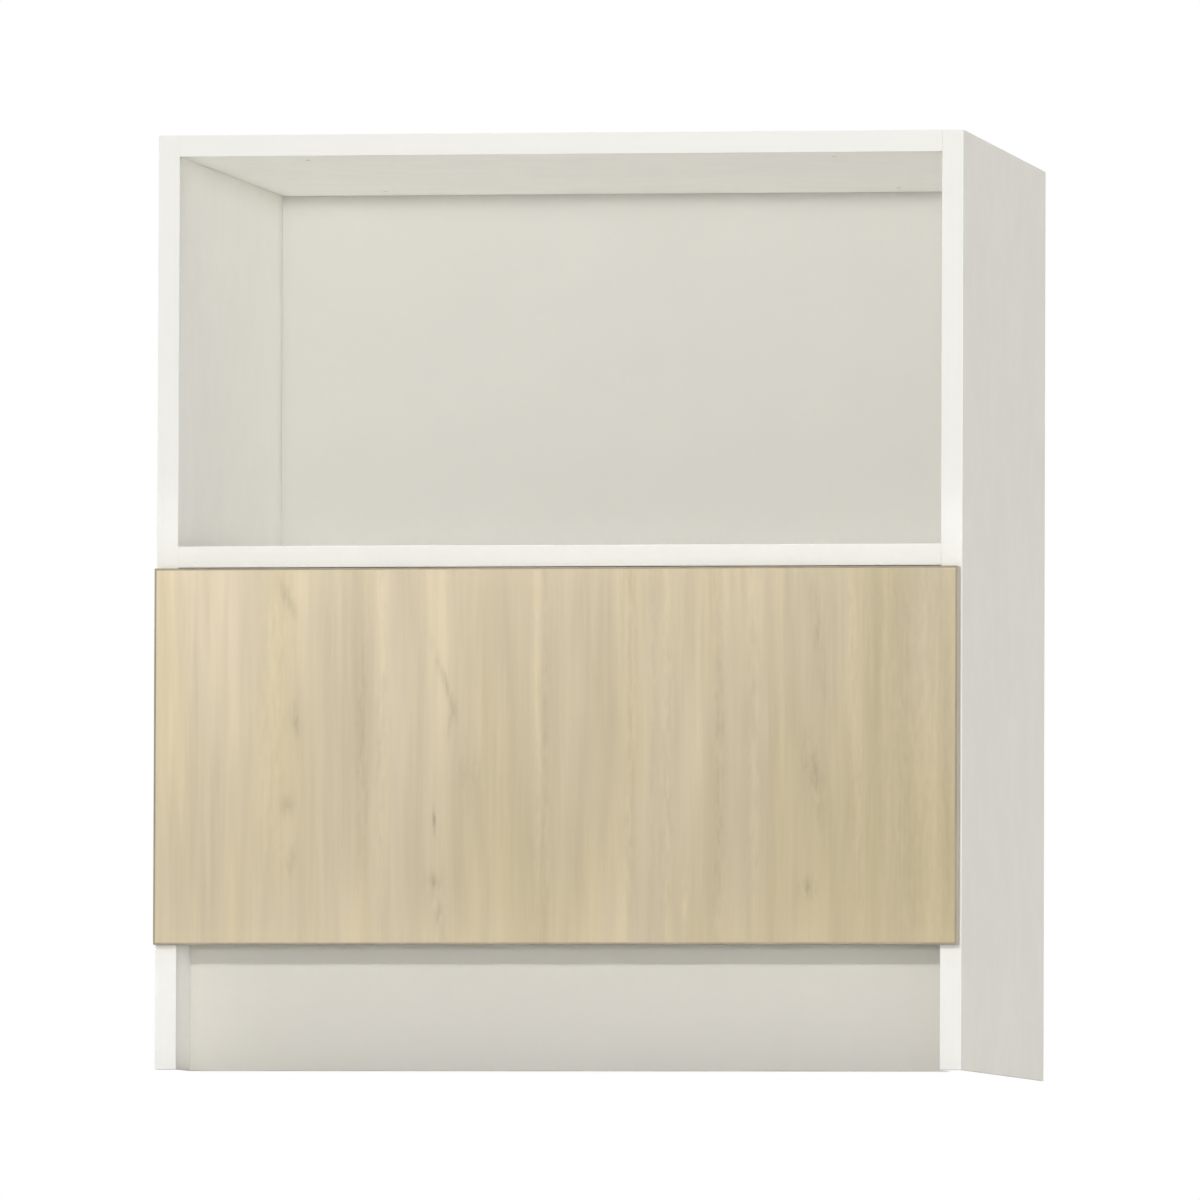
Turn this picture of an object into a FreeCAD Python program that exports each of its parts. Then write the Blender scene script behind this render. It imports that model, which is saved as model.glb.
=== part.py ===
import FreeCAD, Part
import os

from FreeCAD import Placement, Rotation, Vector

# Microwave base cabinet: an open niche over one deep drawer, on sides that run to the floor.
# Millimetres. X runs to the right, Y to the back and Z up, from the middle of the footprint.

# Carcass, a 30 in wide, 34.5 in high and 24 in deep base unit
cabinet_width = 762.0
cabinet_height = 876.3
carcass_depth = 588.6
panel_thickness = 20.0
niche_height = 366.3
toe_kick_height = 136.0
toe_kick_setback = 75.0
toe_kick_thickness = 18.0
back_thickness = 6.0
rail_thickness = 20.0
rail_height = 100.0
groove_depth = 8.0
groove_play = 0.1
groove_end_play = 0.5

# Edge bands of the carcass
band_thickness = 1.0
band_round = 0.6

# Holes that take screws up into the worktop
worktop_hole_radius = 2.5
worktop_hole_spacing_x = 500.0
worktop_hole_spacing_y = 440.0

# Drawer front: it hangs below the deck, and that lip is its grip
front_thickness = 19.0
front_gap = 2.0
front_reveal = 1.5
front_lip = 20.0
front_band = 2.0
front_band_joint = 0.05
front_round = 0.8
bumper_radius = 5.0
bumper_crown_radius = 4.0
bumper_play = 0.2
bumper_inset = 40.0

# Drawer box
box_board = 16.0
box_lift = 12.0
box_headroom = 52.0
box_rear_room = 14.6
box_bottom_thickness = 6.0
box_bottom_rise = 12.0
box_groove_depth = 7.0
box_top_round = 2.0

# Ball-bearing slides: u is measured from the cabinet side, v from the slide's centre line
slide_thickness = 12.7
slide_height = 43.8
slide_setback = 3.0
slide_rear_room = 9.6
slide_rise = 62.0
travel_loss = 10.0
ball_radius = 1.75
race_play = 0.1
race_depth = 0.6
cabinet_sheet = 1.2
middle_sheet = 1.0
drawer_sheet = 1.1
cabinet_flange = 8.0
middle_flange = 11.2
drawer_flange = 5.8
outer_ball_u = 5.2
inner_ball_u = 8.6
middle_web_gap = 1.1
middle_setback = 2.0
cage_sheet = 0.5
cage_gap = 0.3
cage_lip = 2.15
cage_margin = 12.5
pocket_play = 0.05
balls_in_row = 6
access_hole_radius = 5.0
slot_length = 12.0
slot_width = 4.6
slot_step = 32.0
stop_length = 12.0
stop_play = 0.4
stop_half_height = 9.0
stop_width = 8.4
stop_round = 1.4

# Release levers on the drawer members
lever_width = 3.6
lever_gap = 0.2
lever_place = 150.0
lever_boss_radius = 5.0
lever_tail = 58.0
lever_tail_height = 4.4
lever_tab_height = 9.0
lever_tab_length = 12.0
lever_tab_round = 2.2
lever_hook = 16.0
lever_pin_radius = 2.0
lever_pin_head_radius = 3.2
lever_pin_crown_radius = 2.5
lever_pin_head = 0.8

# Fittings, and the largest share of a wall that a rounded edge takes
fit_play = 0.05
end_play = 0.5
rounded_share = 0.8
dowel_radius = 4.0
dowel_in_side = 12.0
dowel_in_board = 18.0
dowel_chamfer = 0.8
dowel_offset = 32.0
fitting_inset = 60.0
rail_dowel_spacing = 50.0
toe_dowel_spacing = 60.0
cam_radius = 7.5
cam_height = 12.6
cam_sunk = 0.3
cam_distance = 34.0
cam_slot_radius = 3.6
cam_cross = 8.0
cam_cross_width = 1.6
cam_cross_depth = 2.2
bolt_thread_radius = 2.5
bolt_thread = 11.0
bolt_shank_radius = 3.0
bolt_neck_radius = 1.8
bolt_neck = 4.0
bolt_head_radius = 3.2
bolt_head = 3.0
bolt_bore_radius = 3.6
box_dowel_in_side = 10.0
box_dowel_in_board = 20.0
box_dowels_in_corner = 3
box_dowel_inset = 45.0
screw_radius = 2.0
screw_length = 14.0
screw_head_radius = 3.5
screw_head_height = 2.2
screw_crown_radius = 1.9
screw_rim = 1.3
sunk_head_depth = 1.5
front_screw_length = 27.0
front_screw_x = 230.0
front_screw_inset = 60.0
back_screw_spacing = 250.0
back_screw_length = 25.0
slide_screw_inset = 35.0

# Places across and along the cabinet
half_width = cabinet_width / 2
inner_half = half_width - panel_thickness
overall_depth = carcass_depth + front_gap + front_thickness
front_y = -overall_depth / 2
front_back_y = front_y + front_thickness
carcass_y = front_back_y + front_gap
board_y = carcass_y + band_thickness
rear_y = overall_depth / 2
back_rear = rear_y - rail_thickness
back_front = back_rear - back_thickness

# Heights
deck_low = toe_kick_height
deck_high = deck_low + panel_thickness
ceiling = cabinet_height - panel_thickness
shelf_high = ceiling - niche_height
shelf_low = shelf_high - panel_thickness
front_low = deck_low - front_lip
front_high = shelf_low - front_reveal
front_half = half_width - front_reveal
toe_front = carcass_y + toe_kick_setback
toe_rear = toe_front + toe_kick_thickness

# Drawer box
box_half = inner_half - slide_thickness
box_inner_half = box_half - box_board
box_rear = back_front - box_rear_room
box_low = deck_high + box_lift
box_high = shelf_low - box_headroom
box_floor = box_low + box_bottom_rise
inner_front_y = front_back_y + box_board
inner_back_y = box_rear - box_board

# Slides
slide_front = carcass_y + slide_setback
slide_rear = back_front - slide_rear_room
slide_z = box_low + slide_rise
slide_travel = slide_rear - slide_front - travel_loss
middle_front = slide_front + middle_setback
member_rear = slide_rear - stop_length - stop_play
cage_front = slide_front + slide_travel / 4 + cage_margin
cage_length = member_rear - middle_front - slide_travel / 2 - 2 * cage_margin
race_radius = ball_radius + race_play
cabinet_flange_v = slide_height / 2 - cabinet_sheet
outer_ball_v = cabinet_flange_v + race_depth - race_radius
middle_flange_top = outer_ball_v - race_radius + race_depth
middle_flange_low = middle_flange_top - middle_sheet
inner_ball_v = middle_flange_low + race_depth - race_radius
drawer_flange_top = inner_ball_v - race_radius + race_depth
middle_web = cabinet_sheet + middle_web_gap
drawer_web = slide_thickness - drawer_sheet
outer_cage_web = cabinet_sheet + cage_gap
inner_cage_web = middle_web + middle_sheet + cage_gap
slide_screws = [
    slide_front + slide_screw_inset,
    (slide_front + member_rear) / 2,
    member_rear - slide_screw_inset,
]
slide_slots = [slide_screws[0] + slot_step, slide_screws[1] + slot_step, slide_screws[2] - slot_step]
lever_y = slide_front + lever_place
lever_u = drawer_web - lever_gap - lever_width

# Rows of fittings along the depth
front_fitting = carcass_y + fitting_inset
rear_fitting = back_front - fitting_inset
levels = [ceiling, shelf_low, deck_low]


def block(x_span, y_span, z_span):
    """Rectangular block between three pairs of limits."""
    size = [span[1] - span[0] for span in (x_span, y_span, z_span)]
    return Part.makeBox(*size, Vector(x_span[0], y_span[0], z_span[0]))


def rod(start, direction, radius, length):
    """Round bar, or the drill that makes its hole."""
    return Part.makeCylinder(radius, length, Vector(*start), Vector(*direction))


def turned(profile, start, direction):
    """Solid turned about a line from start; the profile lists (distance along it, radius)."""
    outline = [Vector(radius, 0, along) for along, radius in profile]
    face = Part.Face(Part.makePolygon(outline + outline[:1]))
    solid = face.revolve(Vector(0, 0, 0), Vector(0, 0, 1), 360)
    solid.Placement = Placement(Vector(*start), Rotation(Vector(0, 0, 1), Vector(*direction)))
    return solid


def mirrored(shape):
    """The same shape on the cabinet's right-hand side."""
    return shape.mirror(Vector(0, 0, 0), Vector(1, 0, 0))


def both(shapes):
    """Shapes of the left-hand side followed by their right-hand twins."""
    return list(shapes) + [mirrored(shape) for shape in shapes]


def eased(shape, radius, direction, y=None, z=None):
    """Round the edges that run along a direction and lie at one depth or one height."""
    chosen = []
    for edge in shape.Edges:
        ends = [vertex.Point for vertex in edge.Vertexes]
        along = len(ends) == 2 and (ends[1] - ends[0]).cross(Vector(*direction)).Length < 1e-6
        placed = all(y is None or abs(end.y - y) < 1e-6 for end in ends)
        level = all(z is None or abs(end.z - z) < 1e-6 for end in ends)
        if along and placed and level:
            chosen.append(edge)
    return shape.makeFillet(radius, chosen)


def save(name, shapes):
    """Write one named sub-part, with every solid of the given shapes."""
    solids = [solid for shape in shapes for solid in shape.Solids]
    Part.makeCompound(solids).exportStep("parts/" + name + ".step")


def pan_screw(start, direction, length):
    """Screw with a domed head: the shank runs along the direction, the head stands behind start."""
    profile = [
        (-screw_head_height, 0),
        (-screw_head_height, screw_crown_radius),
        (-screw_rim, screw_head_radius),
        (0, screw_head_radius),
        (0, screw_radius),
        (length - screw_radius * 2, screw_radius),
        (length, 0),
    ]
    return turned(profile, start, direction)


def sunk_screw(start, direction, length, play=0.0):
    """Screw with a countersunk head flush at start, or the hole for it when there is play."""
    head = screw_head_radius + play
    shank = screw_radius + play
    profile = [(0, 0), (0, head), (sunk_head_depth, shank), (length - shank * 2, shank), (length + play, 0)]
    return turned(profile, start, direction)


def dowel(start, direction, length):
    """Wooden dowel with chamfered ends."""
    tip = dowel_radius - dowel_chamfer
    profile = [
        (0, 0),
        (0, tip),
        (dowel_chamfer, dowel_radius),
        (length - dowel_chamfer, dowel_radius),
        (length, tip),
        (length, 0),
    ]
    return turned(profile, start, direction)


def dowel_points():
    """Depth and height of each dowel between the left side panel and a board."""
    points = []
    for low in levels:
        middle = low + panel_thickness / 2
        points += [(front_fitting + dowel_offset, middle), (rear_fitting - dowel_offset, middle)]
    rail_y = rear_y - rail_thickness / 2
    for rail_middle in (deck_high + rail_height / 2, ceiling - rail_height / 2):
        for step in (-rail_dowel_spacing / 2, rail_dowel_spacing / 2):
            points.append((rail_y, rail_middle + step))
    toe_y = (toe_front + toe_rear) / 2
    toe_middle = toe_kick_height / 2
    points += [(toe_y, toe_middle - toe_dowel_spacing / 2), (toe_y, toe_middle + toe_dowel_spacing / 2)]
    return points


def carcass_dowels():
    """Dowels of the left-hand joints."""
    length = dowel_in_side + dowel_in_board
    return [dowel((-inner_half - dowel_in_side, y, z), (1, 0, 0), length) for y, z in dowel_points()]


def dowel_holes():
    """Holes for the dowels of the left-hand joints, in the side panel and in the boards."""
    length = dowel_in_side + dowel_in_board + 2 * end_play
    start = -inner_half - dowel_in_side - end_play
    return [rod((start, y, z), (1, 0, 0), dowel_radius + fit_play, length) for y, z in dowel_points()]


def cam_points():
    """Depth, open face and inward direction of each cam on the left; the top panel's open upwards."""
    points = []
    for low in levels:
        upward = low == ceiling
        face = low + panel_thickness if upward else low
        for y in (front_fitting, rear_fitting):
            points.append((y, face, -1 if upward else 1, low + panel_thickness / 2))
    return points


def cam_lock(y, face, inward, bolt_z):
    """Round cam with a cross recess, cut open on one side for the bolt's head."""
    x = -inner_half + cam_distance
    body = rod((x, y, face + inward * cam_sunk), (0, 0, inward), cam_radius - fit_play, cam_height)
    mouth = rod((x - cam_radius, y, bolt_z), (1, 0, 0), cam_slot_radius, cam_radius + bolt_head)
    depth = sorted((face + inward * cam_sunk, face + inward * (cam_sunk + cam_cross_depth)))
    arm = cam_cross / 2
    half = cam_cross_width / 2
    cross = [
        block((x - arm, x + arm), (y - half, y + half), depth),
        block((x - half, x + half), (y - arm, y + arm), depth),
    ]
    return body.cut([mouth] + cross)


def cam_bolt(y, bolt_z):
    """Bolt that is screwed into the side panel and hooks into the cam."""
    neck = bolt_thread + cam_distance - bolt_neck
    profile = [
        (0, 0),
        (0, bolt_thread_radius),
        (bolt_thread, bolt_thread_radius),
        (bolt_thread, bolt_shank_radius),
        (neck, bolt_shank_radius),
        (neck, bolt_neck_radius),
        (neck + bolt_neck, bolt_neck_radius),
        (neck + bolt_neck, bolt_head_radius),
        (neck + bolt_neck + bolt_head, bolt_head_radius),
        (neck + bolt_neck + bolt_head, 0),
    ]
    return turned(profile, (-inner_half - bolt_thread, y, bolt_z), (1, 0, 0))


def cam_holes():
    """Bores for the left-hand cams and bolts, in the side panel and in the boards."""
    tools = []
    x = -inner_half + cam_distance
    for y, face, inward, bolt_z in cam_points():
        bore_depth = cam_height + cam_sunk + fit_play
        tools.append(rod((x, y, face), (0, 0, inward), cam_radius, bore_depth))
        tools.append(rod((-inner_half, y, bolt_z), (1, 0, 0), bolt_bore_radius, cam_distance + bolt_head))
        thread = bolt_thread + end_play
        start = (-inner_half - thread, y, bolt_z)
        tools.append(rod(start, (1, 0, 0), bolt_thread_radius + fit_play, thread))
    return tools


def back_slot():
    """Space of the grooves that the back panel is let into."""
    reach = inner_half + groove_depth
    depth = (back_front - groove_play, back_rear + groove_play)
    return block((-reach, reach), depth, (deck_high - groove_depth, ceiling + groove_depth))


def back_panel():
    """Thin back in its grooves, drilled for the screws into the shelf."""
    reach = inner_half + groove_depth - groove_end_play
    height = (deck_high - groove_depth + groove_end_play, ceiling + groove_depth - groove_end_play)
    board = block((-reach, reach), (back_front, back_rear), height)
    return board.cut(back_screw_holes())


def back_screw_points():
    """Places of the screws from the back panel into the shelf's rear edge."""
    middle = shelf_low + panel_thickness / 2
    return [(x, back_rear, middle) for x in (-back_screw_spacing, 0, back_screw_spacing)]


def back_screws():
    """Screws with their heads on the back panel's rear face."""
    return [pan_screw(point, (0, -1, 0), back_screw_length) for point in back_screw_points()]


def back_screw_holes():
    """Holes for those screws."""
    length = back_screw_length + end_play
    return [rod(point, (0, -1, 0), screw_radius + fit_play, length) for point in back_screw_points()]


def side_panel():
    """Left side panel, drilled for dowels, cam bolts and slide screws and grooved for the back."""
    board = block((-half_width, -inner_half), (board_y, rear_y), (0, cabinet_height))
    return board.cut([back_slot()] + dowel_holes() + cam_holes() + cabinet_screws(fit_play))


def level_board(low, rear):
    """Board that lies between the sides, from the front band to a rear limit."""
    board = block((-inner_half, inner_half), (board_y, rear), (low, low + panel_thickness))
    return board.cut([back_slot()] + both(dowel_holes() + cam_holes()) + back_screw_holes())


def top_panel():
    """Top panel with the four holes for worktop screws."""
    middle = (carcass_y + back_front) / 2
    holes = []
    for x in (-worktop_hole_spacing_x / 2, worktop_hole_spacing_x / 2):
        for y in (middle - worktop_hole_spacing_y / 2, middle + worktop_hole_spacing_y / 2):
            holes.append(rod((x, y, ceiling), (0, 0, 1), worktop_hole_radius, panel_thickness))
    return level_board(ceiling, rear_y).cut(holes)


def back_rail(low):
    """Fixing rail behind the back panel."""
    board = block((-inner_half, inner_half), (back_rear, rear_y), (low, low + rail_height))
    return board.cut(both(dowel_holes()))


def toe_kick_board():
    """Recessed board that closes the toe space."""
    board = block((-inner_half, inner_half), (toe_front, toe_rear), (0, toe_kick_height))
    return board.cut(both(dowel_holes()))


def side_band():
    """Upright edge band on the left side panel's front edge."""
    band = block((-half_width, -inner_half), (carcass_y, board_y), (0, cabinet_height))
    return eased(band, min(band_round, rounded_share * band_thickness), (0, 0, 1), y=carcass_y)


def level_band(low):
    """Edge band across the front of a board between the sides."""
    band = block((-inner_half, inner_half), (carcass_y, board_y), (low, low + panel_thickness))
    return eased(band, min(band_round, rounded_share * band_thickness), (1, 0, 0), y=carcass_y)


def front_screw_points():
    """Places of the screws that hold the front, on the inner front's inside face."""
    points = []
    for x in (-front_screw_x, front_screw_x):
        for z in (box_low + front_screw_inset, box_high - front_screw_inset):
            points.append((x, inner_front_y, z))
    return points


def front_screws():
    """Screws from inside the box into the drawer front."""
    return [pan_screw(point, (0, -1, 0), front_screw_length) for point in front_screw_points()]


def front_screw_holes():
    """Holes for those screws, through the inner front and into the drawer front."""
    length = front_screw_length + end_play
    return [rod(point, (0, -1, 0), screw_radius + fit_play, length) for point in front_screw_points()]


def drawer_front():
    """Front slab inside its edge bands."""
    across = (-front_half + front_band, front_half - front_band)
    height = (front_low + front_band, front_high - front_band)
    return block(across, (front_y, front_back_y), height).cut(front_screw_holes())


def drawer_front_bands():
    """Four strips round the slab, with hairline joints where the level ones meet the upright ones."""
    depth = (front_y, front_back_y)
    upright = block((-front_half, -front_half + front_band), depth, (front_low, front_high))
    reach = front_half - front_band - front_band_joint
    lower = block((-reach, reach), depth, (front_low, front_low + front_band))
    upper = block((-reach, reach), depth, (front_high - front_band, front_high))
    radius = min(front_round, rounded_share * front_band)
    corner = block((-front_half, front_half), depth, (front_low, front_high))
    corner = eased(eased(corner, radius, (0, 0, 1), y=front_y), radius, (1, 0, 0), y=front_y)
    return [strip.common(corner) for strip in both([upright]) + [lower, upper]]


def drawer_bumpers():
    """Soft pads on the front's back face that meet the side panels' edges."""
    height = front_gap - bumper_play
    x = -half_width + panel_thickness / 2
    crown = (height, bumper_crown_radius)
    profile = [(0, 0), (0, bumper_radius), (height / 2, bumper_radius), crown, (height, 0)]
    levels_of_pads = (front_low + bumper_inset, front_high - bumper_inset)
    return both([turned(profile, (x, front_back_y, z), (0, 1, 0)) for z in levels_of_pads])


def box_dowel_points():
    """Depth and height of each dowel in the left-hand corners of the drawer box."""
    rise = (box_high - box_low - 2 * box_dowel_inset) / (box_dowels_in_corner - 1)
    heights = [box_low + box_dowel_inset + number * rise for number in range(box_dowels_in_corner)]
    depths = (front_back_y + box_board / 2, box_rear - box_board / 2)
    return [(y, z) for y in depths for z in heights]


def box_dowels():
    """Dowels of the left-hand corners."""
    length = box_dowel_in_side + box_dowel_in_board
    start = -box_inner_half - box_dowel_in_side
    return [dowel((start, y, z), (1, 0, 0), length) for y, z in box_dowel_points()]


def box_dowel_holes():
    """Holes for those dowels."""
    length = box_dowel_in_side + box_dowel_in_board + 2 * end_play
    start = -box_inner_half - box_dowel_in_side - end_play
    return [rod((start, y, z), (1, 0, 0), dowel_radius + fit_play, length) for y, z in box_dowel_points()]


def box_bottom_slot():
    """Space of the groove that runs round the box for its bottom."""
    reach = box_inner_half + box_groove_depth
    depth = (inner_front_y - box_groove_depth, inner_back_y + box_groove_depth)
    height = (box_floor - groove_play, box_floor + box_bottom_thickness + groove_play)
    return block((-reach, reach), depth, height)


def box_side():
    """Left side of the drawer box, with an eased top edge."""
    board = block((-box_half, -box_inner_half), (front_back_y, box_rear), (box_low, box_high))
    board = eased(board, min(box_top_round, rounded_share * box_board / 2), (0, 1, 0), z=box_high)
    return board.cut([box_bottom_slot()] + box_dowel_holes() + drawer_member_holes())


def box_cross_board(y_low):
    """Board across the box between its sides, at the front or the back."""
    board = block((-box_inner_half, box_inner_half), (y_low, y_low + box_board), (box_low, box_high))
    board = eased(board, min(box_top_round, rounded_share * box_board / 2), (1, 0, 0), z=box_high)
    return board.cut([box_bottom_slot()] + both(box_dowel_holes()) + front_screw_holes())


def box_bottom():
    """Thin bottom of the drawer in its grooves."""
    tongue = box_groove_depth - groove_end_play
    reach = box_inner_half + tongue
    depth = (inner_front_y - tongue, inner_back_y + tongue)
    return block((-reach, reach), depth, (box_floor, box_floor + box_bottom_thickness))


def strip_on_slide(u_span, v_span, y_span):
    """Straight strip of the left slide."""
    across = (-inner_half + u_span[0], -inner_half + u_span[1])
    return block(across, y_span, (slide_z + v_span[0], slide_z + v_span[1]))


def rod_on_slide(u, v, y_span, radius):
    """Round bar along the left slide."""
    return rod((-inner_half + u, y_span[0], slide_z + v), (0, 1, 0), radius, y_span[1] - y_span[0])


def folded_race(u, v, flange_span, sheet, y_span):
    """Ridge that a rolled race makes on the far side of its flange, clipped to that side.

    The flange_span holds the flange's two faces, first the one that faces the balls.
    """
    ridge = rod_on_slide(u, v, y_span, race_radius + sheet)
    far = flange_span[0] + (flange_span[1] - flange_span[0]) / sheet * (race_radius + 2 * sheet)
    clip = strip_on_slide((u - 2 * race_radius - sheet, u + 2 * race_radius + sheet),
                          sorted((flange_span[0], far)), y_span)
    return ridge.common(clip)


def member(web_span, half_height, flanges, races, y_span):
    """Rolled channel: a web, a pair of flanges and the races pressed into them.

    Each flange is (u from, u to, v from, v to) above the centre line; each race is
    (u, v of its balls, v of the flange face towards the balls, v of the other face, sheet).
    """
    parts = []
    grooves = []
    for side in (1, -1):
        for u_from, u_to, v_from, v_to in flanges:
            parts.append(strip_on_slide((u_from, u_to), sorted((side * v_from, side * v_to)), y_span))
        for u, v, near, far, sheet in races:
            parts.append(folded_race(u, side * v, (side * near, side * far), sheet, y_span))
            grooves.append(rod_on_slide(u, side * v, y_span, race_radius))
    web = strip_on_slide(web_span, (-half_height, half_height), y_span)
    return web.fuse(parts).removeSplitter().cut(grooves)


def slide_hole(y, u_span, radius):
    """Drill across the slide's web at one depth."""
    return rod((-inner_half + u_span[0], y, slide_z), (1, 0, 0), radius, u_span[1] - u_span[0])


def slide_slot(y, u_span, upright):
    """Oblong adjusting slot through the slide's web, along its height or its depth."""
    half = slot_width / 2
    reach = (slot_length - slot_width) / 2
    deep, high = (0, reach) if upright else (reach, 0)
    across = max(deep, half)
    rise = max(high, half)
    middle = strip_on_slide(u_span, (-rise, rise), (y - across, y + across))
    length = u_span[1] - u_span[0]
    ends = []
    for side in (-1, 1):
        start = (-inner_half + u_span[0], y + side * deep, slide_z + side * high)
        ends.append(rod(start, (1, 0, 0), half, length))
    return middle.fuse(ends)


def cabinet_screws(play=0.0):
    """Flush screws of the left cabinet member, or their holes when there is play."""
    x = -inner_half + cabinet_sheet
    return [sunk_screw((x, y, slide_z), (-1, 0, 0), screw_length, play) for y in slide_screws]


def cabinet_member():
    """Outer channel of the left slide, against the side panel."""
    top = cabinet_flange_v + cabinet_sheet
    flange = (0, cabinet_flange, cabinet_flange_v, top)
    race = (outer_ball_u, outer_ball_v, cabinet_flange_v, top, cabinet_sheet)
    web = (0, cabinet_sheet)
    channel = member(web, top, [flange], [race], (slide_front, slide_rear))
    slots = [slide_slot(y, web, upright=False) for y in slide_slots]
    return channel.cut(cabinet_screws(fit_play) + slots)


def middle_member():
    """Middle channel of the left slide, with a race on each face of its flanges."""
    flange = (middle_web, middle_flange, middle_flange_low, middle_flange_top)
    races = [
        (outer_ball_u, outer_ball_v, middle_flange_top, middle_flange_low, middle_sheet),
        (inner_ball_u, inner_ball_v, middle_flange_low, middle_flange_top, middle_sheet),
    ]
    web = (middle_web, middle_web + middle_sheet)
    channel = member(web, middle_flange_top, [flange], races, (middle_front, member_rear))
    return channel.cut([slide_hole(y, web, access_hole_radius) for y in slide_screws])


def drawer_member():
    """Inner channel of the left slide, screwed to the drawer's side."""
    flange = (drawer_flange, slide_thickness, drawer_flange_top - drawer_sheet, drawer_flange_top)
    race = (inner_ball_u, inner_ball_v, drawer_flange_top, drawer_flange_top - drawer_sheet, drawer_sheet)
    web = (drawer_web, slide_thickness)
    channel = member(web, drawer_flange_top, [flange], [race], (slide_front, member_rear))
    pin_hole = slide_hole(lever_y, web, lever_pin_radius + fit_play)
    slots = [slide_slot(y, web, upright=True) for y in slide_slots]
    return channel.cut(drawer_member_holes() + [pin_hole] + slots)


def drawer_member_screws():
    """Screws of the left drawer member, with their heads inside the channel."""
    x = -inner_half + drawer_web
    return [pan_screw((x, y, slide_z), (1, 0, 0), screw_length) for y in slide_screws]


def drawer_member_holes():
    """Holes for those screws, in the channel and in the drawer's side."""
    span = (drawer_web, drawer_web + screw_length + end_play)
    return [slide_hole(y, span, screw_radius + fit_play) for y in slide_screws]


def ball_places():
    """Depths of the balls along a cage."""
    pitch = cage_length / balls_in_row
    return [cage_front + (number + 0.5) * pitch for number in range(balls_in_row)]


def ball_cage(web, u, v):
    """Folded cage of the left slide, with a round pocket for each ball."""
    y_span = (cage_front, cage_front + cage_length)
    top = v + cage_sheet / 2
    far = u + cage_lip
    pockets = []
    lips = []
    for side in (1, -1):
        lips.append(strip_on_slide((web, far), sorted((side * (top - cage_sheet), side * top)), y_span))
        for y in ball_places():
            start = (-inner_half + u, y, slide_z + side * v - cage_sheet)
            pockets.append(rod(start, (0, 0, 1), ball_radius + pocket_play, 2 * cage_sheet))
    spine = strip_on_slide((web, web + cage_sheet), (-top, top), y_span)
    return spine.fuse(lips).removeSplitter().cut(pockets)


def cage_balls(u, v):
    """Balls of one cage."""
    x = -inner_half + u
    places = [(y, slide_z + side * v) for side in (1, -1) for y in ball_places()]
    return [Part.makeSphere(ball_radius, Vector(x, y, z)) for y, z in places]


def rear_stop():
    """Rubber stop in the rear end of the left cabinet member."""
    span = (cabinet_sheet, cabinet_sheet + stop_width)
    height = (-stop_half_height, stop_half_height)
    stop = strip_on_slide(span, height, (slide_rear - stop_length, slide_rear))
    radius = min(stop_round, rounded_share * stop_width / 2)
    return eased(stop, radius, (0, 0, 1), y=slide_rear - stop_length)


def release_lever():
    """Plastic lever of the left slide: a boss on the pin, a finger tail forward and a hook behind."""
    u_span = (lever_u, lever_u + lever_width)
    half = lever_tail_height / 2
    pivot = (-inner_half + lever_u, lever_y, slide_z)
    boss = rod(pivot, (1, 0, 0), lever_boss_radius, lever_width)
    tail = strip_on_slide(u_span, (-half, half), (lever_y - lever_tail, lever_y))
    tab_front = lever_y - lever_tail - lever_tab_length
    tab_half = lever_tab_height / 2
    tab = strip_on_slide(u_span, (-tab_half, tab_half), (tab_front, tab_front + lever_tab_length))
    tab = eased(tab, min(lever_tab_round, rounded_share * tab_half), (1, 0, 0))
    hook = strip_on_slide(u_span, (-half, half), (lever_y, lever_y + lever_hook))
    bore = rod(pivot, (1, 0, 0), lever_pin_radius + fit_play, lever_width)
    return boss.fuse([tail, tab, hook]).removeSplitter().cut(bore)


def lever_pin():
    """Headed pin that carries the left lever, riveted into the drawer member's web."""
    start = lever_u - fit_play - lever_pin_head
    length = slide_thickness - start
    profile = [
        (0, 0),
        (0, lever_pin_crown_radius),
        (lever_pin_head / 2, lever_pin_head_radius),
        (lever_pin_head, lever_pin_head_radius),
        (lever_pin_head, lever_pin_radius),
        (length, lever_pin_radius),
        (length, 0),
    ]
    return turned(profile, (-inner_half + start, lever_y, slide_z), (1, 0, 0))


def save_pair(name, shapes):
    """Write a left-hand sub-part and its right-hand twin."""
    save("left_" + name, shapes)
    save("right_" + name, [mirrored(shape) for shape in shapes])


def save_carcass():
    """Boards, bands and fittings of the fixed carcass."""
    save_pair("side_panel", [side_panel()])
    save_pair("side_edge_band", [side_band()])
    save("top_panel", [top_panel()])
    save("niche_shelf", [level_board(shelf_low, back_front)])
    save("bottom_deck", [level_board(deck_low, rear_y)])
    save("back_panel", [back_panel()])
    save("upper_back_rail", [back_rail(ceiling - rail_height)])
    save("lower_back_rail", [back_rail(deck_high)])
    save("toe_kick_board", [toe_kick_board()])
    save("top_edge_band", [level_band(ceiling)])
    save("shelf_edge_band", [level_band(shelf_low)])
    save("deck_edge_band", [level_band(deck_low)])
    save("carcass_dowels", both(carcass_dowels()))
    save("cam_locks", both([cam_lock(*point) for point in cam_points()]))
    save("cam_bolts", both([cam_bolt(point[0], point[3]) for point in cam_points()]))
    save("back_panel_screws", back_screws())


def save_drawer():
    """Drawer front, box and their fittings."""
    save("drawer_front", [drawer_front()])
    save("drawer_front_edge_bands", drawer_front_bands())
    save("drawer_bumpers", drawer_bumpers())
    left = box_side()
    save("drawer_left_side", [left])
    save("drawer_right_side", [mirrored(left)])
    save("drawer_inner_front", [box_cross_board(front_back_y)])
    save("drawer_back", [box_cross_board(inner_back_y)])
    save("drawer_bottom", [box_bottom()])
    save("drawer_box_dowels", both(box_dowels()))
    save("drawer_front_screws", front_screws())


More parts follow.
